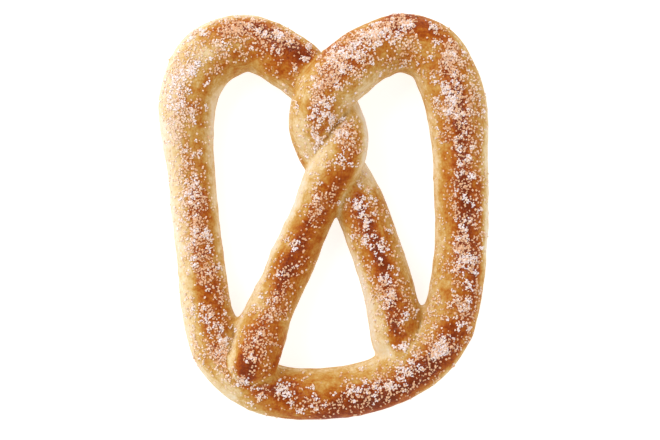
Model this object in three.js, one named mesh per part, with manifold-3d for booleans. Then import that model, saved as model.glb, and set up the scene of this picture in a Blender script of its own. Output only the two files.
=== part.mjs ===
// A large soft pretzel, baked as one piece: a single rope of dough looped, twisted once and folded back
// onto itself. Millimetres, +Z up, lying flat on z = 0 with the lobes towards +Y and the round side of the
// loop towards -Y.

import * as THREE from 'three';
import { mergeVertices } from 'three/addons/utils/BufferGeometryUtils.js';
import Module from 'manifold-3d';

const wasm = await Module();
wasm.setup();

// ---------------------------------------------------------------- driving dimensions

// The rope's middle line from one end to the other: x, y, height of the middle, and the rope's radius.
// Where the rope rests its middle is lower than its radius, so that it stands on a flat strip.
const ROUTE = [
  // left leg, from the end that is pressed onto the loop up to the twist
  [-30.8, -63, 18, 10.6],
  [-28.3, -54, 17, 11.1],
  [-24.9, -43, 12.5, 10.4],
  [-19.3, -31, 9, 9.9],
  [-13.9, -18.6, 8.4, 10.4],
  [-7.4, -4.2, 10, 9.7],
  [-0.5, 12.2, 16, 10.2],
  // over the other leg, then under the strand that comes down from the right lobe
  [8.1, 30.6, 18.5, 11.3],
  [5.7, 46, 12, 10.3],
  [-3.6, 58.2, 9.6, 11.3],
  // left lobe
  [-15.4, 68.6, 10, 12.4],
  [-33.4, 76.9, 10.2, 12.4],
  [-51.3, 70.6, 10.6, 13.8],
  [-59.5, 55.5, 10.2, 13],
  [-60.9, 37, 9.2, 11.6],
  // left side
  [-59.1, 19, 8.6, 10.4],
  [-57.1, 1, 8.5, 10.3],
  [-55, -19, 8.6, 10.5],
  [-52.4, -40, 8.8, 10.9],
  [-47.2, -58.2, 9.2, 11.6],
  // bottom of the loop
  [-35.8, -71.2, 9.3, 11.6],
  [-20, -77.6, 9.2, 11.5],
  [-2, -78.8, 9.2, 11.4],
  [16, -76.5, 9.3, 11.5],
  [32.2, -70.7, 10, 11.5],
  [45, -62.1, 10.6, 11.8],
  [54.1, -49.6, 10, 12],
  // right side
  [58.3, -33, 9.6, 11.9],
  [60.4, -14, 9.5, 11.9],
  [60.7, 5, 9.5, 11.9],
  [60.4, 24, 9.6, 12.2],
  [59.2, 43, 9.9, 13.2],
  // right lobe
  [55.7, 58.8, 10.4, 13.7],
  [48.6, 71.5, 10.6, 13.3],
  [35.6, 77, 10.8, 12.9],
  [21.3, 72.6, 14, 12.7],
  [10.2, 64.4, 19.4, 13.2],
  // over the left strand, then under the left leg
  [0.6, 54.4, 21.4, 12.6],
  [-3.2, 42, 18, 12.3],
  [0, 29.4, 11.5, 11.6],
  [9.5, 17, 8.8, 11.3],
  // right leg, down to the end that is tucked into the inner side of the loop
  [16.5, 3.3, 8.8, 11.5],
  [21.6, -11, 8.9, 11.3],
  [26.1, -24, 9, 11.3],
  [29.7, -38, 9, 11.6],
  [32, -51, 8.8, 11.7],
  [34.5, -62, 8, 10.4],
];

const LEFT_JOIN = 11; // route point on top of the left lobe, where the left strand hands over to the loop
const RIGHT_JOIN = 34; // route point on top of the right lobe, where the loop hands over to the right strand
const SIDES = 18; // corners of the rope's cross-section
const RINGS_PER_SPAN = 3; // cross-sections between two route points
const DOME_RINGS = 4; // cross-sections in a rounded rope end
const SPARE = 20; // how far the trimming block reaches past the rope

const CRUST = new THREE.MeshStandardMaterial({ color: 0xc98a3e, roughness: 0.55, metalness: 0 });

// ---------------------------------------------------------------- the rope's middle line and thickness

const UP = new THREE.Vector3(0, 0, 1);
const spans = ROUTE.length - 1;
const middle = new THREE.CatmullRomCurve3(ROUTE.map(([x, y, z]) => new THREE.Vector3(x, y, z)));
const girth = new THREE.CatmullRomCurve3(ROUTE.map(([, , , r]) => new THREE.Vector3(r, 0, 0)));

// One cross-section at a place on the route, where 0 is the first route point and 1 the second. A dome
// angle above 0 moves the section outwards past a rope end and shrinks it.
function section(place, outwards = 0, domeAngle = 0) {
  const t = place / spans;
  const radius = girth.getPoint(t).x;
  const along = middle.getTangent(t);
  const side = new THREE.Vector3().crossVectors(along, UP).normalize();
  const lift = new THREE.Vector3().crossVectors(side, along);
  const centre = middle.getPoint(t).addScaledVector(along, outwards * radius * Math.sin(domeAngle));
  const ring = [];
  for (let i = 0; i < SIDES; i++) {
    const turn = (i / SIDES) * 2 * Math.PI;
    const reach = radius * Math.cos(domeAngle);
    ring.push(
      centre
        .clone()
        .addScaledVector(side, reach * Math.cos(turn))
        .addScaledVector(lift, reach * Math.sin(turn)),
    );
  }
  return { centre, ring };
}

// The cross-sections of the rope between two route points, with a rounded end where one is asked for.
function sections(from, to, { roundStart = false, roundEnd = false } = {}) {
  const rows = [];
  for (let k = DOME_RINGS; roundStart && k > 0; k--) {
    rows.push(section(from, -1, (k / (DOME_RINGS + 1)) * (Math.PI / 2)));
  }
  for (let k = 0; k <= (to - from) * RINGS_PER_SPAN; k++) {
    rows.push(section(from + k / RINGS_PER_SPAN));
  }
  for (let k = 1; roundEnd && k <= DOME_RINGS; k++) {
    rows.push(section(to, 1, (k / (DOME_RINGS + 1)) * (Math.PI / 2)));
  }
  return rows;
}

// ---------------------------------------------------------------- closed solids

// A closed skin over a row of cross-sections, with a fan of triangles over each end.
function skin(rows, startTip, endTip) {
  const points = rows.flatMap(({ ring }) => ring).concat(startTip, endTip);
  const startIndex = points.length - 2;
  const endIndex = points.length - 1;
  const lastRow = (rows.length - 1) * SIDES;
  const triangles = [];
  for (let i = 0; i < SIDES; i++) {
    const next = (i + 1) % SIDES;
    for (let row = 0; row < lastRow; row += SIDES) {
      triangles.push(row + i, row + SIDES + next, row + next);
      triangles.push(row + i, row + SIDES + i, row + SIDES + next);
    }
    triangles.push(startIndex, i, next);
    triangles.push(endIndex, lastRow + next, lastRow + i);
  }
  return new wasm.Manifold(
    new wasm.Mesh({
      numProp: 3,
      vertProperties: new Float32Array(points.flatMap((point) => point.toArray())),
      triVerts: new Uint32Array(triangles),
    }),
  );
}

// The rope's tip past one of its two ends.
function tip(place, outwards) {
  const t = place / spans;
  return middle.getPoint(t).addScaledVector(middle.getTangent(t), outwards * girth.getPoint(t).x);
}

function leftStrand() {
  const rows = sections(0, LEFT_JOIN, { roundStart: true });
  return skin(rows, tip(0, -1), rows.at(-1).centre);
}

function loopStrand() {
  const rows = sections(LEFT_JOIN, RIGHT_JOIN);
  return skin(rows, rows[0].centre, rows.at(-1).centre);
}

function rightStrand() {
  const rows = sections(RIGHT_JOIN, spans, { roundEnd: true });
  return skin(rows, rows[0].centre, tip(spans, 1));
}

// The block of space above the surface that the pretzel was baked on.
function aboveTheTray() {
  const box = new THREE.Box3().setFromPoints(ROUTE.map(([x, y, z]) => new THREE.Vector3(x, y, z)));
  box.expandByScalar(SPARE);
  const size = box.getSize(new THREE.Vector3());
  const centre = box.getCenter(new THREE.Vector3());
  const block = new THREE.BoxGeometry(size.x, size.y, size.z);
  block.translate(centre.x, centre.y, size.z / 2);
  return solidOf(block);
}

function solidOf(geometry) {
  geometry.deleteAttribute('normal');
  geometry.deleteAttribute('uv');
  const merged = mergeVertices(geometry);
  return new wasm.Manifold(
    new wasm.Mesh({
      numProp: 3,
      vertProperties: new Float32Array(merged.attributes.position.array),
      triVerts: new Uint32Array(merged.index.array),
    }),
  );
}

function geometryOf(solid) {
  const { vertProperties, triVerts } = solid.getMesh();
  const geometry = new THREE.BufferGeometry();
  geometry.setAttribute('position', new THREE.BufferAttribute(vertProperties, 3));
  geometry.setIndex(new THREE.BufferAttribute(triVerts, 1));
  geometry.computeVertexNormals();
  return geometry;
}

// ---------------------------------------------------------------- the pretzel

const rope = leftStrand().add(loopStrand()).add(rightStrand());
const pretzel = new THREE.Mesh(geometryOf(rope.intersect(aboveTheTray())), CRUST);
pretzel.name = 'pretzel';

const model = new THREE.Group();
model.add(pretzel);

export default model;
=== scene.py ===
"""A large soft pretzel: baked dough with a mottled golden crust and a dusting of granulated sugar.

The dough's surface is worked out in millimetres along the rope's route and turned into a mesh in metres.
"""

import logging
import math
from dataclasses import dataclass, field
from enum import Enum
from itertools import product

import bpy
import numpy as np
import openvdb
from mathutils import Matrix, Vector
from mathutils.kdtree import KDTree

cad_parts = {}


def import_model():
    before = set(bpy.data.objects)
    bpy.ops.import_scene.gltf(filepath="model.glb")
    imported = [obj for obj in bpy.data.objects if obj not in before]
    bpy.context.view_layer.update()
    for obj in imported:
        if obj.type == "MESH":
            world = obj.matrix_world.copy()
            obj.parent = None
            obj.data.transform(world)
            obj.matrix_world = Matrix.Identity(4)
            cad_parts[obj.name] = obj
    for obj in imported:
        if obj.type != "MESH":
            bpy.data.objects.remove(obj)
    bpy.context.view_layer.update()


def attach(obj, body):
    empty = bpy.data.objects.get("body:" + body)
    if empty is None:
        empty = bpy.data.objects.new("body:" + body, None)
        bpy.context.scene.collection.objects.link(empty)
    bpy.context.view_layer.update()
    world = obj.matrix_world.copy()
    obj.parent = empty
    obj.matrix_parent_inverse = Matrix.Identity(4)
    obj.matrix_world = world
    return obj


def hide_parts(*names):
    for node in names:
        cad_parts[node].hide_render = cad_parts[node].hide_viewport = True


log = logging.getLogger("pretzel")

MM = 0.001

# The rope's middle line, the same as in the part's source: x, y, height of the middle, and radius, in mm.
ROUTE = (
    # left leg, from the end that is pressed onto the loop up to the twist
    (-30.8, -63, 18, 10.6),
    (-28.3, -54, 17, 11.1),
    (-24.9, -43, 12.5, 10.4),
    (-19.3, -31, 9, 9.9),
    (-13.9, -18.6, 8.4, 10.4),
    (-7.4, -4.2, 10, 9.7),
    (-0.5, 12.2, 16, 10.2),
    # over the other leg, then under the strand that comes down from the right lobe
    (8.1, 30.6, 18.5, 11.3),
    (5.7, 46, 12, 10.3),
    (-3.6, 58.2, 9.6, 11.3),
    # left lobe
    (-15.4, 68.6, 10, 12.4),
    (-33.4, 76.9, 10.2, 12.4),
    (-51.3, 70.6, 10.6, 13.8),
    (-59.5, 55.5, 10.2, 13),
    (-60.9, 37, 9.2, 11.6),
    # left side
    (-59.1, 19, 8.6, 10.4),
    (-57.1, 1, 8.5, 10.3),
    (-55, -19, 8.6, 10.5),
    (-52.4, -40, 8.8, 10.9),
    (-47.2, -58.2, 9.2, 11.6),
    # bottom of the loop
    (-35.8, -71.2, 9.3, 11.6),
    (-20, -77.6, 9.2, 11.5),
    (-2, -78.8, 9.2, 11.4),
    (16, -76.5, 9.3, 11.5),
    (32.2, -70.7, 10, 11.5),
    (45, -62.1, 10.6, 11.8),
    (54.1, -49.6, 10, 12),
    # right side
    (58.3, -33, 9.6, 11.9),
    (60.4, -14, 9.5, 11.9),
    (60.7, 5, 9.5, 11.9),
    (60.4, 24, 9.6, 12.2),
    (59.2, 43, 9.9, 13.2),
    # right lobe
    (55.7, 58.8, 10.4, 13.7),
    (48.6, 71.5, 10.6, 13.3),
    (35.6, 77, 10.8, 12.9),
    (21.3, 72.6, 14, 12.7),
    (10.2, 64.4, 19.4, 13.2),
    # over the left strand, then under the left leg
    (0.6, 54.4, 21.4, 12.6),
    (-3.2, 42, 18, 12.3),
    (0, 29.4, 11.5, 11.6),
    (9.5, 17, 8.8, 11.3),
    # right leg, down to the end that is tucked into the inner side of the loop
    (16.5, 3.3, 8.8, 11.5),
    (21.6, -11, 8.9, 11.3),
    (26.1, -24, 9, 11.3),
    (29.7, -38, 9, 11.6),
    (32, -51, 8.8, 11.7),
    (34.5, -62, 8, 10.4),
)


class Strand(Enum):
    """The stretches of the rope that can meet one another, by their first and last route point."""

    LEFT_LEG = (0, 7)
    LEFT_SHOULDER = (7, 11)
    LOOP = (11, 34)
    RIGHT_SHOULDER = (34, 40)
    RIGHT_LEG = (40, 46)


@dataclass(frozen=True)
class Station:
    """How the crust looks at one place on the rope, across it from its left-hand to its right-hand flank.

    Attributes:
        place: route point, counted from the left leg's end.
        bake: five levels of browning from flank to flank, 0 pale dough, 1 deep brown and 1.2 the darkest,
            lightened on the flanks by painted highlight.
        sugar: how thickly sugar lies on the rope, 0 none and 1 a heavy dusting.
        lean: where across the rope it lies thickest, -1 on the left-hand flank, 0 on top and 1 on the
            right-hand flank.
    """

    place: float
    bake: tuple[float, float, float, float, float]
    sugar: float
    lean: float


# Browning along the rope, with painted highlight: the flank levels are made paler where the key light falls
# on the rope's sides.
STATIONS = (
    Station(0, (0.12, 1.00, 1.04, 0.70, 0.74), 0.45, -0.3),
    Station(2, (0.22, 0.32, 0.74, 0.72, 0.42), 0.48, 0.0),
    Station(4, (0.02, 0.68, 1.16, 0.75, 0.50), 0.14, 0.0),
    Station(6, (0.08, 0.34, 0.76, 0.96, 0.50), 0.36, 0.0),
    Station(7, (0.00, 0.22, 0.60, 0.70, 0.04), 0.60, -0.1),
    Station(8, (0.12, 0.84, 0.92, 0.20, 0.00), 0.54, -0.5),
    Station(9, (0.23, 0.44, 0.55, 0.98, 0.64), 0.80, 0.15),
    Station(10, (0.26, 0.76, 0.88, 1.16, 0.44), 0.48, 0.45),
    Station(11, (0.54, 0.65, 0.62, 1.20, 0.18), 0.58, 0.6),
    Station(12, (0.29, 0.56, 0.25, 0.38, 0.13), 0.66, 0.5),
    Station(13, (0.10, 0.58, 0.49, 0.18, 0.10), 0.52, 0.35),
    Station(14, (0.15, 0.55, 0.44, 0.18, 0.06), 0.50, 0.1),
    Station(16, (0.21, 0.75, 0.96, 0.29, 0.06), 0.58, -0.05),
    Station(18, (0.39, 0.82, 0.74, 0.21, 0.15), 0.50, 0.0),
    Station(19, (0.42, 0.48, 0.71, 0.43, 0.14), 0.64, -0.25),
    Station(20, (0.68, 0.46, 1.16, 0.26, 0.17), 0.46, -0.4),
    Station(21, (0.42, 0.80, 1.01, 0.72, 0.43), 0.34, -0.2),
    Station(22, (0.28, 0.55, 0.87, 0.93, 1.04), 0.34, 0.1),
    Station(23, (0.34, 0.50, 0.93, 1.16, 0.88), 0.36, 0.1),
    Station(24, (0.21, 0.48, 0.85, 1.15, 0.70), 0.42, 0.15),
    Station(25, (0.05, 0.48, 1.06, 1.20, 0.28), 0.45, 0.0),
    Station(26, (0.40, 0.48, 0.94, 0.88, 0.46), 0.74, 0.0),
    Station(27, (0.34, 0.48, 0.67, 1.00, 0.52), 0.70, 0.05),
    Station(28, (0.30, 0.54, 1.00, 0.92, 0.06), 0.52, 0.2),
    Station(30, (0.14, 0.68, 1.20, 0.66, 0.14), 0.26, 0.1),
    Station(32, (0.30, 0.40, 0.92, 0.48, 0.35), 0.66, -0.05),
    Station(33, (0.36, 0.59, 0.54, 0.82, 0.38), 0.80, 0.4),
    Station(34, (0.36, 0.61, 0.63, 1.00, 0.94), 0.80, 0.5),
    Station(35, (0.44, 0.58, 0.50, 0.76, 0.42), 0.88, 0.55),
    Station(36, (0.23, 0.41, 0.82, 0.70, 0.76), 0.98, 0.4),
    Station(37, (0.23, 0.49, 0.73, 0.42, 0.40), 0.90, 0.15),
    Station(38, (0.76, 0.85, 0.73, 0.22, 0.28), 0.60, -0.15),
    Station(39, (1.06, 0.20, 0.13, 0.25, 0.42), 0.60, -0.35),
    Station(40, (0.08, 0.25, 0.66, 0.90, 0.04), 0.40, -0.15),
    Station(41, (0.45, 0.66, 1.13, 0.69, 0.33), 0.40, -0.1),
    Station(43, (0.20, 0.63, 1.07, 0.54, 0.00), 0.58, -0.05),
    Station(45, (0.64, 0.68, 1.06, 0.29, 0.08), 0.30, -0.1),
    Station(46, (0.66, 0.78, 0.50, 0.00, 0.00), 0.33, -0.2),
)


@dataclass(frozen=True)
class Crevice:
    """A crease between two strands that stayed open in the oven, where the others baked shut.

    Attributes:
        x: its middle, in mm.
        y: its middle, in mm.
        reach: how far from its middle it stays open, in mm.
        depth: how open it is, up to 1.
        shade: how much painted shade, a brown line, lies along it, up to 1.
    """

    x: float
    y: float
    reach: float
    depth: float
    shade: float

    def nearness(self, x: np.ndarray, y: np.ndarray) -> np.ndarray:
        """1 at the crevice's middle and 0 well away from it."""
        return np.exp(-((((x - self.x) ** 2 + (y - self.y) ** 2) / self.reach**2) ** 2))


# Open creases; the last column is how much painted shade, a brown line, lies along each.
CREVICES = (
    # under the right lobe's strand in the twist, and in the notch between the lobes
    Crevice(5, 39, 8, 0.75, 1.0),
    Crevice(-2, 56, 6, 0.7, 0.7),
    # beside the legs, where they meet the loop
    Crevice(42.5, -50, 6, 0.8, 0.7),
    Crevice(-40, -54.5, 6, 0.9, 0.8),
    # round the left leg's end, and in the corners inside the two legs
    Crevice(-30, -74, 8, 0.8, 0.2),
    Crevice(-19, -64, 5, 0.8, 0.0),
    Crevice(25, -60, 5, 0.9, 0.0),
)


# ---------------------------------------------------------------- noise


@dataclass(frozen=True)
class Grain:
    """Smooth random variation through space, the same on each run.

    Attributes:
        wavelength: distance between neighbouring highs and lows, in the points' own unit.
        seed: number that tells one pattern from another.
    """

    wavelength: float
    seed: int

    def at(self, points: np.ndarray) -> np.ndarray:
        """Reads the pattern.

        Args:
            points: places to read it at, one row each.

        Returns:
            One value for each row, about -1 to 1.
        """
        scaled = points / self.wavelength
        cell = np.floor(scaled).astype(np.int64)
        inside = scaled - cell
        fade = inside**3 * (inside * (inside * 6 - 15) + 10)
        total = np.zeros(len(points))
        for corner in product((0, 1), repeat=3):
            corner = np.array(corner)
            slope = self._slopes(cell + corner)
            weight = np.where(corner == 1, fade, 1 - fade).prod(axis=1)
            total += weight * ((inside - corner) * slope).sum(axis=1)
        return total * 1.6

    def _slopes(self, cell: np.ndarray) -> np.ndarray:
        """A fixed random direction for each cell corner.

        Args:
            cell: the corners' whole-number places, one row each.

        Returns:
            One unit vector for each row.
        """
        mixed = cell[:, 0] * 73856093 ^ cell[:, 1] * 19349663 ^ cell[:, 2] * 83492791 ^ self.seed * 2654435761
        mixed = (mixed ^ (mixed >> 13)) * 1274126177
        mixed = mixed ^ (mixed >> 16)
        turn = (mixed & 1023) / 1023 * 2 * math.pi
        height = ((mixed >> 10) & 1023) / 1023 * 2 - 1
        flat = np.sqrt(1 - height**2)
        return np.stack([flat * np.cos(turn), flat * np.sin(turn), height], axis=1)


def smooth_step(low: float, high: float, value: np.ndarray) -> np.ndarray:
    """Rises from 0 at low to 1 at high, flat at both ends."""
    t = np.clip((value - low) / (high - low), 0, 1)
    return t * t * (3 - 2 * t)


def blend_union(first: np.ndarray, second: np.ndarray, fillet: float | np.ndarray) -> np.ndarray:
    """Joins two distance fields with a rounded inside corner.

    Args:
        first: distances to the first body, negative inside.
        second: distances to the second body.
        fillet: width over which the corner is rounded.

    Returns:
        Distances to the joined body.
    """
    near = np.maximum(fillet - np.abs(first - second), 0) / fillet
    return np.minimum(first, second) - near * near * fillet / 4


# ---------------------------------------------------------------- the rope of dough


@dataclass
class RopePlaces:
    """Where some surface points lie on the rope.

    Attributes:
        arc: distance along the rope, in mm.
        place: the same distance counted in route points.
        turn: angle round the rope, 0 on top and positive towards its right-hand flank, in radians.
        radius: the rope's radius there, in mm.
        gap: how much further away the next nearest stretch of rope is, in mm.
    """

    arc: np.ndarray
    place: np.ndarray
    turn: np.ndarray
    radius: np.ndarray
    gap: np.ndarray


@dataclass
class Rope:
    """The rope of dough as closely spaced round sections along its route.

    Attributes:
        sections_per_span: sections between two route points.
        apart: how far along the rope another stretch starts to count as another one, in mm.
        centres: middle of each section, in mm.
        radii: radius of each section, in mm.
        places: where each section lies, counted in route points.
        arcs: distance along the rope to each section, in mm.
        along: direction of the rope at each section.
        right: direction across the rope at each section, level and to the right of its travel.
        up: direction across the rope at each section, square to the other two.
    """

    sections_per_span: int = 20
    apart: float = 48.0
    centres: np.ndarray = field(init=False)
    radii: np.ndarray = field(init=False)
    places: np.ndarray = field(init=False)
    arcs: np.ndarray = field(init=False)
    along: np.ndarray = field(init=False)
    right: np.ndarray = field(init=False)
    up: np.ndarray = field(init=False)

    def __post_init__(self) -> None:
        """Works out the sections from the route."""
        route = np.array(ROUTE, dtype=float)
        rows = [self._span(route, i) for i in range(len(route) - 1)] + [route[-1:]]
        sections = np.concatenate(rows)
        self.centres = sections[:, :3]
        self.radii = sections[:, 3]
        self.places = np.arange(len(sections)) / self.sections_per_span
        steps = np.linalg.norm(np.diff(self.centres, axis=0), axis=1)
        self.arcs = np.concatenate([[0], np.cumsum(steps)])
        self.along = np.gradient(self.centres, axis=0)
        self.along /= np.linalg.norm(self.along, axis=1)[:, None]
        self.right = np.cross(self.along, (0, 0, 1))
        self.right /= np.linalg.norm(self.right, axis=1)[:, None]
        self.up = np.cross(self.right, self.along)

    def _span(self, route: np.ndarray, i: int) -> np.ndarray:
        """Sections between two route points, on a centripetal Catmull-Rom curve.

        Args:
            route: the route points, one row each.
            i: the point that the sections start from.

        Returns:
            Middle and radius of each section, one row each, without the next point's own.
        """
        before = route[i - 1] if i > 0 else 2 * route[0] - route[1]
        after = route[i + 2] if i + 2 < len(route) else 2 * route[-1] - route[-2]
        p = (before, route[i], route[i + 1], after)
        d = [math.sqrt(np.linalg.norm(b[:3] - a[:3])) for a, b in zip(p, p[1:])]
        leave = ((p[1] - p[0]) / d[0] - (p[2] - p[0]) / (d[0] + d[1])) * d[1] + (p[2] - p[1])
        arrive = ((p[3] - p[2]) / d[2] - (p[3] - p[1]) / (d[1] + d[2])) * d[1] + (p[2] - p[1])
        t = np.arange(self.sections_per_span)[:, None] / self.sections_per_span
        bend = -3 * p[1] + 3 * p[2] - 2 * leave - arrive
        return p[1] + leave * t + bend * t**2 + (2 * p[1] - 2 * p[2] + leave + arrive) * t**3

    def rows_of(self, strand: Strand) -> range:
        """The sections of one stretch."""
        first, last = strand.value
        return range(first * self.sections_per_span, last * self.sections_per_span + 1)

    def locate(self, points: np.ndarray) -> RopePlaces:
        """Finds where points on or near the surface lie on the rope.

        Args:
            points: places in mm, one row each.

        Returns:
            Their places on the rope.
        """
        batch = 4096
        nearest = np.empty(len(points), dtype=int)
        gap = np.empty(len(points))
        for start in range(0, len(points), batch):
            some = points[start : start + batch]
            away = np.linalg.norm(some[:, None, :] - self.centres[None], axis=2) - self.radii
            best = away.argmin(axis=1)
            row = np.arange(len(some))
            first = away[row, best]
            away[np.abs(self.arcs[None] - self.arcs[best][:, None]) < self.apart] = np.inf
            nearest[start : start + batch] = best
            gap[start : start + batch] = away.min(axis=1) - first
        offset = points - self.centres[nearest]
        lengthwise = (offset * self.along[nearest]).sum(axis=1)
        sideways = (offset * self.right[nearest]).sum(axis=1)
        upwards = (offset * self.up[nearest]).sum(axis=1)
        arc = self.arcs[nearest] + lengthwise
        return RopePlaces(
            arc=arc,
            place=np.interp(arc, self.arcs, self.places),
            turn=np.arctan2(sideways, upwards),
            radius=self.radii[nearest],
            gap=gap,
        )


# ---------------------------------------------------------------- the dough's surface


@dataclass
class DoughSurface:
    """Turns the rope into one closed skin in which the strands have baked together.

    Attributes:
        rope: the rope's sections.
        voxel: size of the sampling cells, in mm.
        open_fillet: rounding of a crease at an open crevice, in mm.
        twist_fillet: rounding elsewhere in the twist, in mm.
        end_fillet: rounding where the left leg's end is pressed onto the loop, in mm.
        tuck_fillet: rounding where the right leg's end has melted into the loop, in mm.
        foot_fillet: rounding of the edge of the flat underside, in mm.
        reach: how far outside the rope the field is worked out, in mm, at least the largest rounding.
    """

    rope: Rope
    voxel: float = 0.85
    open_fillet: float = 1.4
    twist_fillet: float = 2.2
    end_fillet: float = 7.5
    tuck_fillet: float = 6.0
    foot_fillet: float = 3.0
    reach: float = 7.5

    def build(self) -> tuple[np.ndarray, np.ndarray]:
        """Meshes the dough.

        Returns:
            The corner points in mm, and the four-sided faces as rows of point numbers.
        """
        pad = self.rope.radii.max() + 2 * self.reach
        low = self.rope.centres.min(axis=0) - pad
        low[2] = -2 * self.reach
        high = self.rope.centres.max(axis=0) + pad
        shape = tuple(np.ceil((high - low) / self.voxel).astype(int))
        fields = {strand: self._strand_field(strand, low, shape) for strand in Strand}
        left = np.minimum(fields[Strand.LEFT_LEG], fields[Strand.LEFT_SHOULDER])
        right = np.minimum(fields[Strand.RIGHT_SHOULDER], fields[Strand.RIGHT_LEG])
        loop = fields[Strand.LOOP]
        x, y = (low[a] + np.arange(shape[a]) * self.voxel for a in range(2))
        depths = [crevice.depth * crevice.nearness(x[:, None], y[None, :]) for crevice in CREVICES]
        openness = np.max(depths, axis=0)[:, :, None]
        whole = blend_union(left, right, self._fillet(self.twist_fillet, openness))
        for strand, fillet in ((Strand.LEFT_LEG, self.end_fillet), (Strand.RIGHT_LEG, self.tuck_fillet)):
            whole = np.minimum(whole, blend_union(fields[strand], loop, self._fillet(fillet, openness)))
        height = low[2] + np.arange(shape[2]) * self.voxel
        below = np.broadcast_to(-height, shape).astype(np.float32)
        whole = -blend_union(-whole, -below, self.foot_fillet)
        return self._skin(whole.astype(np.float32), low)

    def _fillet(self, shut: float, openness: np.ndarray) -> np.ndarray:
        """A crease's rounding over the grid, from its value where it baked shut."""
        return (shut + (self.open_fillet - shut) * openness).astype(np.float32)

    def _strand_field(self, strand: Strand, low: np.ndarray, shape: tuple[int, ...]) -> np.ndarray:
        """Distances to one stretch of the rope over the whole grid, cut off at the reach.

        Args:
            strand: the stretch.
            low: the grid's lowest corner, in mm.
            shape: number of cells along each axis.

        Returns:
            The distances in mm, negative inside.
        """
        values = np.full(shape, self.reach, dtype=np.float32)
        for k in self.rope.rows_of(strand):
            centre, radius = self.rope.centres[k], self.rope.radii[k]
            bottom = (centre - radius - self.reach - low) / self.voxel
            top = (centre + radius + self.reach - low) / self.voxel
            first = np.maximum(np.floor(bottom).astype(int), 0)
            last = np.minimum(np.ceil(top).astype(int) + 1, shape)
            axes = [
                (low[a] + np.arange(first[a], last[a]) * self.voxel - centre[a]).astype(np.float32) ** 2
                for a in range(3)
            ]
            squares = axes[0][:, None, None] + axes[1][None, :, None] + axes[2][None, None, :]
            block = values[first[0] : last[0], first[1] : last[1], first[2] : last[2]]
            np.minimum(block, np.sqrt(squares) - np.float32(radius), out=block)
        return values

    def _skin(self, values: np.ndarray, low: np.ndarray) -> tuple[np.ndarray, np.ndarray]:
        """The surface where the field is zero.

        Args:
            values: distances over the grid.
            low: the grid's lowest corner, in mm.

        Returns:
            The corner points in mm, and the four-sided faces as rows of point numbers.
        """
        grid = openvdb.FloatGrid(background=self.reach)
        grid.copyFromArray(values)
        points, triangles, quads = grid.convertToPolygons(isovalue=0.0, adaptivity=0.0)
        assert len(triangles) == 0
        return points.astype(float) * self.voxel + low, quads.astype(np.int64)


def point_normals(points: np.ndarray, quads: np.ndarray) -> np.ndarray:
    """Average direction that the faces round each point look in.

    Args:
        points: the mesh's points, one row each.
        quads: its four-sided faces, as rows of point numbers.

    Returns:
        One unit vector for each point.
    """
    across = points[quads[:, 2]] - points[quads[:, 0]]
    other = points[quads[:, 3]] - points[quads[:, 1]]
    faces = np.cross(across, other)
    normals = np.zeros_like(points)
    for corner in range(4):
        np.add.at(normals, quads[:, corner], faces)
    return normals / np.maximum(np.linalg.norm(normals, axis=1), 1e-12)[:, None]


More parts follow.
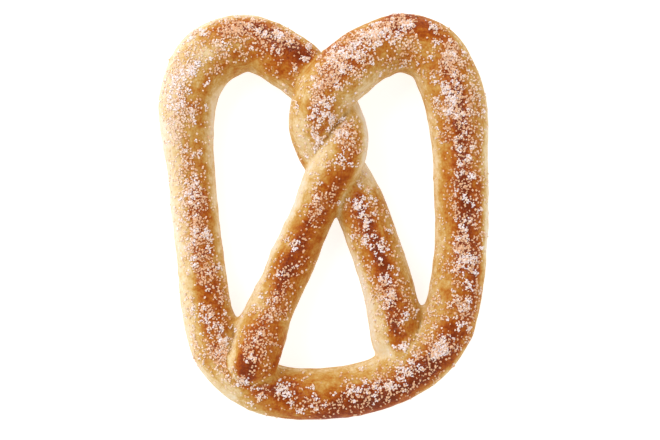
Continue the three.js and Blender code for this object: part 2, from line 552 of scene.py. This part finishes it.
@dataclass
class Dough:
    """The baked dough: one closed piece with lumps, blisters, stretch lines and a browned crust.

    Attributes:
        rope: the rope's sections.
        lump_height: height of the broad unevenness of a hand-rolled rope, in mm.
        dimple_height: height of the small dents in the crust, in mm.
        streak_height: depth of the stretch lines on the flanks, in mm.
        blisters: number of small bubbles under the crust.
        blister_reach: least and greatest distance from a bubble's middle to its rim, in mm.
        blister_height: least and greatest height of a bubble, in mm.
        flank_bake: browning that the lower flanks are drawn towards.
        crease_bake: browning that the creases between strands are drawn towards.
        under_bake: browning that parts facing down are drawn towards.
        sole_bake: browning of the flat underside.
        seed: number that fixes where the bubbles are, and their sizes.
        points: places on the surface, in mm.
        quads: its four-sided faces, as rows of point numbers.
        normals: outward direction at each point.
        on_rope: where each point lies on the rope.
        bake: browning at each point, with the stations' painted highlight on the flanks.
        crease_shadow: how much of an open crease's painted shade each point has, up to 1.
        sugar: how thickly single grains fall at each point.
        drift: how thickly clumps of grains fall at each point.
    """

    rope: Rope
    lump_height: float = 0.45
    dimple_height: float = 0.16
    streak_height: float = 0.10
    blisters: int = 170
    blister_reach: tuple[float, float] = (1.4, 3.6)
    blister_height: tuple[float, float] = (0.12, 0.34)
    flank_bake: float = 0.4
    crease_bake: float = 0.3
    under_bake: float = 0.28
    sole_bake: float = 0.62
    seed: int = 41
    points: np.ndarray = field(init=False)
    quads: np.ndarray = field(init=False)
    normals: np.ndarray = field(init=False)
    on_rope: RopePlaces = field(init=False)
    bake: np.ndarray = field(init=False)
    crease_shadow: np.ndarray = field(init=False)
    sugar: np.ndarray = field(init=False)
    drift: np.ndarray = field(init=False)

    def build(self) -> bpy.types.Object:
        """Makes the piece.

        Returns:
            The dough's object, with the attributes that its crust reads.
        """
        self.points, self.quads = DoughSurface(self.rope).build()
        self.normals = point_normals(self.points, self.quads)
        if (self.normals * self.points).sum() < 0:
            self.quads = self.quads[:, ::-1]
            self.normals = -self.normals
        self.on_rope = self.rope.locate(self.points)
        self._shape_crust()
        self._spread_bake_and_light()
        self._shade_crevices()
        self._scatter_sugar()
        return self._piece()

    def _shape_crust(self) -> None:
        """Moves the skin in and out for lumps, dimples, stretch lines and blisters."""
        free = smooth_step(0.0, 3.0, self.points[:, 2])
        lumps = Grain(24, 3).at(self.points) + 0.5 * Grain(11, 4).at(self.points)
        dimples = Grain(4.6, 5).at(self.points) + 0.5 * Grain(2.6, 6).at(self.points)
        rolled = np.stack(
            [
                self.on_rope.arc / 11,
                self.on_rope.turn * self.on_rope.radius / 2.4,
                np.zeros(len(self.points)),
            ],
            axis=1,
        )
        flank = smooth_step(0.5, 1.1, np.abs(self.on_rope.turn))
        streaks = Grain(1, 7).at(rolled) * flank
        rise = self.lump_height * lumps + self.dimple_height * dimples + self.streak_height * streaks
        rise += self._blister_rise()
        self.points = self.points + self.normals * (rise * free)[:, None]
        self.points[:, 2] = np.maximum(self.points[:, 2], 0)
        self.normals = point_normals(self.points, self.quads)

    def _blister_rise(self) -> np.ndarray:
        """Works out the small bubbles.

        Returns:
            Their height at each point, in mm.
        """
        rng = np.random.default_rng(self.seed)
        rise = np.zeros(len(self.points))
        for k in rng.choice(len(self.points), self.blisters, replace=False):
            reach = rng.uniform(*self.blister_reach)
            away = np.linalg.norm(self.points - self.points[k], axis=1) / reach
            rise += rng.uniform(*self.blister_height) * (1 - smooth_step(0.0, 1.0, away))
        return rise

    def _spread_bake_and_light(self) -> None:
        """Spreads the stations' browning, with its painted highlight on the flanks, over the surface, and
        evens it low down and in creases.
        """
        stops = np.array([station.place for station in STATIONS])
        levels = np.array([station.bake for station in STATIONS])
        across = np.clip(np.sin(np.clip(self.on_rope.turn, -math.pi / 2, math.pi / 2)), -1, 1) * 2 + 2
        column = np.minimum(across.astype(int), 3)
        share = across - column
        share = share * share * (3 - 2 * share)
        along = np.stack([np.interp(self.on_rope.place, stops, levels[:, c]) for c in range(5)], axis=1)
        row = np.arange(len(self.points))
        bake = along[row, column] * (1 - share) + along[row, column + 1] * share
        crease = 1 - smooth_step(0.0, 5.0, self.on_rope.gap)
        below = smooth_step(0.1, 0.7, -self.normals[:, 2])
        flank = smooth_step(1.15, 1.75, np.abs(self.on_rope.turn))
        evened = (self.flank_bake, self.crease_bake, self.under_bake)
        for share, level in zip((0.65 * flank, 0.55 * crease, 0.8 * below), evened):
            bake = bake + share * (level - bake)
        sole = 1 - smooth_step(0.05, 1.2, self.points[:, 2])
        self.bake = bake + sole * (self.sole_bake - bake)

    def _shade_crevices(self) -> None:
        """Works out the painted shade, a brown line along the creases that stayed open."""
        width = 1.1 + 0.6 * Grain(3, 25).at(self.points)
        close = 1 - smooth_step(0.2, 1.0, self.on_rope.gap / width)
        upward = smooth_step(0.2, 0.6, self.normals[:, 2])
        x, y = self.points[:, :2].T
        shades = [crevice.shade * crevice.nearness(x, y) for crevice in CREVICES]
        self.crease_shadow = close * upward * np.max(shades, axis=0)

    def _scatter_sugar(self) -> None:
        """Works out how thickly sugar lies at each point."""
        stops = np.array([station.place for station in STATIONS])
        density = np.interp(self.on_rope.place, stops, np.array([station.sugar for station in STATIONS]))
        lean = np.interp(self.on_rope.place, stops, np.array([station.lean for station in STATIONS]))
        off_band = np.sin(np.clip(self.on_rope.turn, -math.pi / 2, math.pi / 2)) - lean
        facing = smooth_step(0.15, 0.95, self.normals[:, 2]) * smooth_step(0.2, 1.5, self.on_rope.gap)
        patches = Grain(13, 21).at(self.points) + 0.9 * Grain(6, 22).at(self.points)
        band = 0.2 + 0.8 * np.exp(-((off_band / 0.6) ** 2))
        self.sugar = np.clip(facing * density * band * (0.65 + 1.45 * patches), 0.03 * facing, 1.5)
        heaps = Grain(15, 23).at(self.points) + 0.9 * Grain(5, 24).at(self.points)
        river = np.exp(-((off_band / 0.42) ** 2))
        thickness = facing * density**1.4 * river * (0.45 + 1.2 * heaps)
        self.drift = np.clip(thickness, 0.03 * facing * density, 1.5)

    def _piece(self) -> bpy.types.Object:
        """Turns the points, faces and attributes into a Blender object.

        Returns:
            The object.
        """
        mesh = bpy.data.meshes.new("dough")
        mesh.from_pydata((self.points * MM).tolist(), [], self.quads.tolist())
        mesh.polygons.foreach_set("use_smooth", np.ones(len(mesh.polygons), dtype=bool))
        # bake holds the browning with painted highlight on the flanks; crease_shadow holds painted shade
        # along open creases.
        values = {"bake": self.bake, "dust": 0.5 * self.sugar + 0.8 * self.drift, "crease_shadow": self.crease_shadow}
        for name, data in values.items():
            attribute = mesh.attributes.new(name, "FLOAT", "POINT")
            attribute.data.foreach_set("value", data.astype(np.float32))
        around = self.on_rope.turn * self.on_rope.radius
        rolled = np.stack([self.on_rope.arc, around, self.points[:, 2]], axis=1)
        attribute = mesh.attributes.new("rolled", "FLOAT_VECTOR", "POINT")
        attribute.data.foreach_set("vector", rolled.astype(np.float32).ravel())
        mesh.update()
        dough = bpy.data.objects.new("dough", mesh)
        bpy.context.collection.objects.link(dough)
        return dough


# ---------------------------------------------------------------- sugar


class SugarTint(Enum):
    """Grains take on some of the colour of the crust that they sit in, painted light for the crust seen
    through the clear grain. The value is the piece's name.
    """

    WHITE = "sugar_white"
    CREAM = "sugar_cream"
    AMBER = "sugar_amber"


@dataclass
class SugarDusting:
    """Granulated sugar on the dough: single grains, and small clumps where it fell thickly.

    Attributes:
        dough: the baked dough that the sugar lies on.
        singles: number of single grains.
        clumps: number of clumps.
        grain_size: least and greatest length of a single grain before its corners are drawn in, in mm.
        clump_grain_size: the same for the grains in clumps, in mm.
        clump_spacing: how far a clump spreads for each square root of its number of grains, in mm.
        heap_height: how far above the crust the middle of a clump's topmost grain may be, in mm.
        tint_limits: crust_tint above which a grain is cream, and above which it is amber.
        seed: number that fixes every random choice.
    """

    dough: Dough
    singles: int = 8400
    clumps: int = 700
    grain_size: tuple[float, float] = (0.5, 1.15)
    clump_grain_size: tuple[float, float] = (0.45, 0.95)
    clump_spacing: float = 0.42
    heap_height: float = 0.55
    tint_limits: tuple[float, float] = (0.1, 0.58)
    seed: int = 77

    def build(self) -> dict[SugarTint, bpy.types.Object]:
        """Makes the grains.

        Returns:
            The piece that holds the grains of each tint.
        """
        rng = np.random.default_rng(self.seed)
        singles = self._single_grains(rng)
        heaped = self._clump_grains(rng)
        centres, sizes, crust_tint = (np.concatenate(pair) for pair in zip(singles, heaped))
        tint = np.digitize(crust_tint, self.tint_limits)
        return {
            name: self._crystals(name.value, rng, centres[tint == k], sizes[tint == k])
            for k, name in enumerate(SugarTint)
        }

    def _land(
        self, rng: np.random.Generator, thickness: np.ndarray, count: int
    ) -> tuple[np.ndarray, np.ndarray, np.ndarray]:
        """Drops grains on the surface.

        Args:
            rng: source of the random places.
            thickness: how thickly they fall at each point of the dough.
            count: number of grains.

        Returns:
            Their places, the outward direction at each, and the browning at each, painted highlight on the
            flanks included.
        """
        quads = self.dough.quads
        triangles = np.concatenate([quads[:, [0, 1, 2]], quads[:, [0, 2, 3]]])
        corners = self.dough.points[triangles]
        sides = (corners[:, 1] - corners[:, 0], corners[:, 2] - corners[:, 0])
        areas = np.linalg.norm(np.cross(*sides), axis=1) / 2
        chance = areas * thickness[triangles].mean(axis=1)
        chosen = triangles[rng.choice(len(triangles), count, p=chance / chance.sum())]
        shares = rng.dirichlet((1, 1, 1), count)[:, :, None]
        spots = (self.dough.points[chosen] * shares).sum(axis=1)
        outward = (self.dough.normals[chosen] * shares).sum(axis=1)
        outward /= np.linalg.norm(outward, axis=1)[:, None]
        return spots, outward, self.dough.bake[chosen].mean(axis=1)

    def _single_grains(self, rng: np.random.Generator) -> tuple[np.ndarray, np.ndarray, np.ndarray]:
        """Places the single grains, which sit a little way into the crust.

        Args:
            rng: source of the random places and sizes.

        Returns:
            Their centres and sizes in mm, and how far each is tinted towards the crust under it, painted
            light for the crust seen through the grain.
        """
        spots, outward, browning = self._land(rng, self.dough.sugar, self.singles)
        small, large = self.grain_size
        sizes = small + (large - small) * rng.beta(2.0, 2.6, self.singles)
        sunk = spots + outward * (sizes * rng.uniform(0.1, 0.4, self.singles))[:, None]
        # Grains over browner crust are tinted towards it: painted light for the crust seen through the clear
        # grain.
        return sunk, sizes, 0.12 + 0.8 * browning + rng.normal(0, 0.16, self.singles)

    def _clump_grains(self, rng: np.random.Generator) -> tuple[np.ndarray, np.ndarray, np.ndarray]:
        """Places the grains of the clumps, heaped round each clump's middle.

        Args:
            rng: source of the random places and sizes.

        Returns:
            Their centres and sizes in mm, and how far each is tinted, at random.
        """
        spots, outward, _ = self._land(rng, self.dough.drift, self.clumps)
        counts = np.round(rng.gamma(1.8, 4.9, self.clumps)).astype(int) + 2
        owner = np.repeat(np.arange(self.clumps), counts)
        spread = self.clump_spacing * np.sqrt(counts)[owner]
        sideways = rng.normal(size=(len(owner), 3))
        sideways -= outward[owner] * (sideways * outward[owner]).sum(axis=1)[:, None]
        drift = sideways * (spread * 0.5)[:, None]
        away = np.linalg.norm(drift, axis=1)
        heap = np.exp(-((away / spread) ** 2)) * rng.uniform(0.1, 0.9, len(owner))
        centres = self._seat(spots[owner] + drift, np.minimum(heap * 0.45 * spread, self.heap_height))
        sizes = rng.uniform(*self.clump_grain_size, len(owner))
        return centres, sizes, rng.uniform(-0.25, 0.4, len(owner))

    def _seat(self, places: np.ndarray, rises: np.ndarray) -> np.ndarray:
        """Moves points straight onto the crust, and then outwards.

        Args:
            places: points near the crust, in mm.
            rises: how far outwards each one ends up, in mm.

        Returns:
            The moved points.
        """
        crust = KDTree(len(self.dough.points))
        for k, point in enumerate(self.dough.points):
            crust.insert(point, k)
        crust.balance()
        nearest = np.array([crust.find(place)[1] for place in places])
        outward = self.dough.normals[nearest]
        above = ((places - self.dough.points[nearest]) * outward).sum(axis=1)
        return places + outward * (rises - above)[:, None]

    def _crystals(
        self, name: str, rng: np.random.Generator, centres: np.ndarray, sizes: np.ndarray
    ) -> bpy.types.Object:
        """Blocky crystals of uneven shape, turned every way.

        Args:
            name: the piece's name.
            rng: source of the random shapes and turns.
            centres: middle of each crystal, in mm.
            sizes: longest side of each crystal, in mm.

        Returns:
            One object that holds them all.
        """
        count = len(centres)
        block = np.array(list(product((-0.5, 0.5), repeat=3)))
        widths = sizes * rng.uniform(0.65, 1.0, count)
        heights = sizes * rng.uniform(0.5, 0.9, count)
        sides = np.stack([sizes, widths, heights], axis=1)
        corners = block[None] * sides[:, None, :]
        corners = corners * rng.uniform(0.72, 1.0, (count, 8, 1))
        turns = np.linalg.qr(rng.normal(size=(count, 3, 3)))[0]
        turns *= np.sign(np.linalg.det(turns))[:, None, None]
        corners = np.einsum("nij,nkj->nki", turns, corners) + centres[:, None, :]
        faces = np.array([[0, 1, 3, 2], [4, 6, 7, 5], [0, 4, 5, 1], [2, 3, 7, 6], [0, 2, 6, 4], [1, 5, 7, 3]])
        faces = (faces[None] + 8 * np.arange(count)[:, None, None]).reshape(-1, 4)
        mesh = bpy.data.meshes.new(name)
        mesh.from_pydata((corners.reshape(-1, 3) * MM).tolist(), [], faces.tolist())
        mesh.update()
        piece = bpy.data.objects.new(name, mesh)
        bpy.context.collection.objects.link(piece)
        return piece


# ---------------------------------------------------------------- finishes


def linear(red: int, green: int, blue: int) -> tuple[float, float, float, float]:
    """A display colour of 0 to 255 a channel as the linear colour that shaders use."""
    channels = [c / 255 for c in (red, green, blue)]
    return (*(c / 12.92 if c <= 0.04045 else ((c + 0.055) / 1.055) ** 2.4 for c in channels), 1.0)


class NodeTree:
    """Short calls for building a node material."""

    def __init__(self, name: str) -> None:
        """Starts an empty material.

        Args:
            name: the material's name.
        """
        self.material = bpy.data.materials.new(name)
        self.material.use_nodes = True
        self.nodes = self.material.node_tree.nodes
        self.links = self.material.node_tree.links
        self.nodes.clear()

    def add(self, kind: str, **settings: object) -> bpy.types.Node:
        """Adds a node and sets its properties and input values.

        Args:
            kind: the node's type.
            **settings: properties by name, and inputs as a dictionary called inputs.

        Returns:
            The new node.
        """
        node = self.nodes.new(kind)
        inputs = settings.pop("inputs", {})
        for name, value in settings.items():
            setattr(node, name, value)
        for name, value in inputs.items():
            if isinstance(value, bpy.types.NodeSocket):
                self.links.new(value, node.inputs[name])
            else:
                node.inputs[name].default_value = value
        return node

    def attribute(self, name: str, output: str = "Fac") -> bpy.types.NodeSocket:
        """Reads a value that the mesh holds."""
        return self.add("ShaderNodeAttribute", attribute_name=name).outputs[output]

    def maths(self, operation: str, *values: object, clamp: bool = False) -> bpy.types.NodeSocket:
        """Adds a sum.

        Args:
            operation: the kind of sum.
            *values: the numbers or sockets that it takes, one to three.
            clamp: whether the result is kept between 0 and 1.

        Returns:
            The result's socket.
        """
        inputs = dict(enumerate(values))
        node = self.add("ShaderNodeMath", operation=operation, use_clamp=clamp, inputs=inputs)
        return node.outputs[0]

    def noise(self, vector: object, scale: float, detail: float, rough: float) -> bpy.types.NodeSocket:
        """Adds smooth noise of about 0 to 1."""
        settings = {"Vector": vector, "Scale": scale, "Detail": detail, "Roughness": rough}
        return self.add("ShaderNodeTexNoise", inputs=settings).outputs["Fac"]

    def between(self, value: object, low: float, high: float) -> bpy.types.NodeSocket:
        """Adds a smooth rise from 0 to 1.

        Args:
            value: the value that is read.
            low: where the rise starts.
            high: where it ends.

        Returns:
            The result's socket.
        """
        settings = {"Value": value, "From Min": low, "From Max": high}
        node = self.add("ShaderNodeMapRange", interpolation_type="SMOOTHSTEP", inputs=settings)
        return node.outputs["Result"]

    def mix(self, share: object, first: object, second: object) -> bpy.types.NodeSocket:
        """Mixes two colours.

        Args:
            share: how much of the second colour is in the mix, 0 to 1.
            first: the first colour.
            second: the second colour.

        Returns:
            The mixed colour's socket.
        """
        node = self.add("ShaderNodeMix", data_type="RGBA")
        for socket, value in ((node.inputs[0], share), (node.inputs[6], first), (node.inputs[7], second)):
            if isinstance(value, bpy.types.NodeSocket):
                self.links.new(value, socket)
            else:
                socket.default_value = value
        return node.outputs[2]

    def ramp(self, value: bpy.types.NodeSocket, stops: tuple) -> bpy.types.NodeSocket:
        """Turns a value into a colour.

        Args:
            value: the value, 0 to 1.
            stops: positions and their colours, in rising order.

        Returns:
            The colour's socket.
        """
        node = self.add("ShaderNodeValToRGB", inputs={"Fac": value})
        row = node.color_ramp.elements
        while len(row) < len(stops):
            row.new(0.5)
        for element, (position, colour) in zip(row, stops):
            element.position = position
            element.color = colour
        return node.outputs["Color"]

    def finish(self, shader: bpy.types.Node) -> bpy.types.Material:
        """Connects the shader to the output.

        Args:
            shader: the last shader node.

        Returns:
            The material.
        """
        output = self.add("ShaderNodeOutputMaterial")
        self.links.new(shader.outputs[0], output.inputs["Surface"])
        return self.material


@dataclass(frozen=True)
class CrustFinish:
    """Baked crust: pale dough on the flanks, gold to deep brown on top, mottled and finely streaked, with
    painted highlight on the flanks and painted shade along open creases.

    Attributes:
        stops: colours from pale dough to the darkest brown, by share of the darkest browning.
        crease_shadow: colour of the painted shade along an open crease.
        dust: colour of the finest sugar, too small to be a crystal.
        darkest: browning that the last of the stops stands for.
        streak_scale: factors on the distances along the rope, round it and upwards at which the streaks are
            read. The small first one makes them run long with the rope, and the last leaves height out.
    """

    stops: tuple = (
        (0.00, linear(239, 226, 206)),
        (0.17, linear(231, 204, 156)),
        (0.33, linear(206, 160, 84)),
        (0.50, linear(188, 118, 40)),
        (0.67, linear(170, 83, 15)),
        (0.83, linear(141, 57, 9)),
        (1.00, linear(122, 47, 9)),
    )
    # Painted shade laid as a brown line along the open creases.
    crease_shadow: tuple = linear(122, 68, 30)
    dust: tuple = linear(248, 230, 222)
    darkest: float = 1.2
    streak_scale: tuple = (0.05, 0.55, 0)

    def material(self) -> bpy.types.Material:
        """Builds the node material.

        Returns:
            The material.
        """
        tree = NodeTree("crust")
        place = tree.add("ShaderNodeTexCoord").outputs["Object"]
        rolled = tree.attribute("rolled", "Vector")
        # bake holds the browning together with the painted highlight on the flanks.
        bake = tree.attribute("bake")
        broad = tree.noise(place, 70, 3.0, 0.6)
        blotch = tree.noise(place, 260, 3.0, 0.6)
        factors = {0: rolled, 1: self.streak_scale}
        stretch = tree.add("ShaderNodeVectorMath", operation="MULTIPLY", inputs=factors)
        streak = tree.noise(stretch.outputs[0], 1.6, 3.0, 0.6)
        fine = tree.noise(place, 900, 3.0, 0.6)
        mottle = tree.maths("MULTIPLY", tree.maths("SUBTRACT", broad, 0.5), 0.8)
        for pattern, strength in ((blotch, 0.9), (fine, 0.7), (streak, 0.35)):
            mottle = tree.maths("MULTIPLY_ADD", tree.maths("SUBTRACT", pattern, 0.5), strength, mottle)
        mottle = tree.maths("MULTIPLY", mottle, tree.maths("MULTIPLY_ADD", bake, 0.75, 0.35))
        # The ramp's input carries the painted highlight on the flanks along with the browning.
        browning = tree.maths("DIVIDE", tree.maths("ADD", bake, mottle), self.darkest, clamp=True)
        colour = tree.ramp(browning, self.stops)
        # Painted shade along the open creases.
        colour = tree.mix(tree.maths("MULTIPLY", tree.attribute("crease_shadow"), 0.8), colour, self.crease_shadow)
        speck = tree.noise(place, 1500, 2.0, 0.7)
        dusting = tree.maths("MULTIPLY", tree.attribute("dust"), tree.between(speck, 0.52, 0.66), clamp=True)
        colour = tree.mix(tree.maths("MULTIPLY", dusting, 0.5), colour, self.dust)
        height = tree.maths("MULTIPLY_ADD", streak, 0.5, fine)
        bump = tree.add("ShaderNodeBump", inputs={"Strength": 0.35, "Distance": 0.0006, "Height": height})
        shader = tree.add(
            "ShaderNodeBsdfPrincipled",
            inputs={
                "Base Color": colour,
                "Roughness": tree.maths("MULTIPLY_ADD", blotch, 0.3, 0.34),
                "Normal": bump.outputs[0],
                "Specular IOR Level": 0.08,
            },
        )
        return tree.finish(shader)


@dataclass(frozen=True)
class SugarFinish:
    """Sugar crystals of one tint.

    Attributes:
        tint: the tint.
    """

    tint: SugarTint

    def material(self) -> bpy.types.Material:
        """Builds the node material.

        Returns:
            The material.
        """
        colours = {
            SugarTint.WHITE: linear(253, 241, 241),
            SugarTint.CREAM: linear(247, 219, 194),
            SugarTint.AMBER: linear(237, 189, 147),
        }
        tree = NodeTree(self.tint.value)
        shader = tree.add(
            "ShaderNodeBsdfPrincipled",
            inputs={
                "Base Color": colours[self.tint],
                "Roughness": 0.35,
                "IOR": 1.54,
            },
        )
        return tree.finish(shader)


@dataclass(frozen=True)
class PaperFinish:
    """Plain white surface that the pretzel lies on."""

    def material(self) -> bpy.types.Material:
        """Builds the node material.

        Returns:
            The material.
        """
        tree = NodeTree("white_surface")
        shader = tree.add(
            "ShaderNodeBsdfPrincipled",
            inputs={
                "Base Color": (0.5, 0.5, 0.5, 1),
                "Roughness": 0.9,
                "Emission Color": (1, 1, 1, 1),
                "Emission Strength": 0.75,
            },
        )
        return tree.finish(shader)


# ---------------------------------------------------------------- studio


@dataclass
class Studio:
    """White surface, soft light from above and the left, and a camera looking straight down.

    Attributes:
        view_width: width of what the camera sees at the height it aims at, in metres.
        aim: the place that the camera and the lights look at, in metres.
        lens: the camera's focal length, in mm.
        sensor: width of the camera's sensor, in mm.
    """

    view_width: float = 0.29284
    aim: tuple[float, float, float] = (0.00255, -0.0014, 0.010)
    lens: float = 100.0
    sensor: float = 36.0

    def build(self) -> None:
        """Makes the surface, the lights, the background and the camera."""
        self._surface()
        self._lights()
        self._camera()

    def _surface(self) -> None:
        """The plain white floor, curving up into a wall all round."""
        mesh = bpy.data.meshes.new("surface")
        steps, flat, wall = 96, 1.5, 1.8
        rise = [math.radians(a) for a in range(0, 91, 6)]
        profile = [(flat + wall * math.sin(a), wall * (1 - math.cos(a))) for a in rise]
        turns = [2 * math.pi * k / steps for k in range(steps)]
        points = [(r * math.cos(t), r * math.sin(t), z) for r, z in profile for t in turns]
        rings = product(range(len(profile) - 1), range(steps))
        sides = [(i * steps, k, (k + 1) % steps) for i, k in rings]
        faces = [(row + k, row + steps + k, row + steps + after, row + after) for row, k, after in sides]
        mesh.from_pydata(points, [], [tuple(range(steps)), *faces])
        mesh.polygons.foreach_set("use_smooth", np.ones(len(mesh.polygons), dtype=bool))
        surface = bpy.data.objects.new("surface", mesh)
        mesh.materials.append(PaperFinish().material())
        bpy.context.collection.objects.link(surface)

    def _area(self, name: str, place: tuple, size: float, watts: float) -> None:
        """Adds a square soft light aimed at the pretzel.

        Args:
            name: the light's name.
            place: where it hangs, in metres.
            size: length of its side, in metres.
            watts: its power.
        """
        lamp = bpy.data.lights.new(name, "AREA")
        lamp.shape = "SQUARE"
        lamp.size = size
        lamp.energy = watts
        holder = bpy.data.objects.new(name, lamp)
        holder.location = place
        holder.rotation_euler = (Vector(self.aim) - Vector(place)).to_track_quat("-Z", "Y").to_euler()
        bpy.context.collection.objects.link(holder)

    def _lights(self) -> None:
        """A large soft key from the upper left, and an even background light."""
        self._area("key", (-0.75, 0.55, 0.95), size=0.9, watts=10.5)
        self._area("fill", (0.8, -0.3, 1.1), size=1.0, watts=2.0)
        world = bpy.data.worlds.new("studio")
        world.use_nodes = True
        background = world.node_tree.nodes["Background"]
        background.inputs["Color"].default_value = (1, 1, 1, 1)
        background.inputs["Strength"].default_value = 0.48
        bpy.context.scene.world = world
        bpy.context.scene.view_settings.view_transform = "Standard"

    def _camera(self) -> None:
        """The camera above the pretzel, with the lobes at the top of the picture."""
        data = bpy.data.cameras.new("camera")
        data.lens = self.lens
        data.sensor_width = self.sensor
        camera = bpy.data.objects.new("camera", data)
        distance = self.view_width * self.lens / self.sensor
        camera.location = (self.aim[0], self.aim[1], self.aim[2] + distance)
        bpy.context.collection.objects.link(camera)
        bpy.context.scene.camera = camera


# ---------------------------------------------------------------- the whole pretzel


@dataclass
class Pretzel:
    """The dough and its sugar, riding on the one body of the part."""

    def build(self) -> None:
        """Makes and dresses every piece."""
        rope = Rope()
        dough = Dough(rope)
        crust = dough.build()
        crust.data.materials.append(CrustFinish().material())
        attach(crust, "root")
        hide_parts("pretzel")
        log.info("%s: %d faces", crust.name, len(crust.data.polygons))
        for tint, piece in SugarDusting(dough).build().items():
            piece.data.materials.append(SugarFinish(tint).material())
            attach(piece, "root")
            log.info("%s: %d faces", piece.name, len(piece.data.polygons))


def main() -> None:
    """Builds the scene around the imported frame."""
    logging.basicConfig(level=logging.INFO, format="%(name)s: %(message)s")
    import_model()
    Studio().build()
    Pretzel().build()


if __name__ == "__main__":
    main()
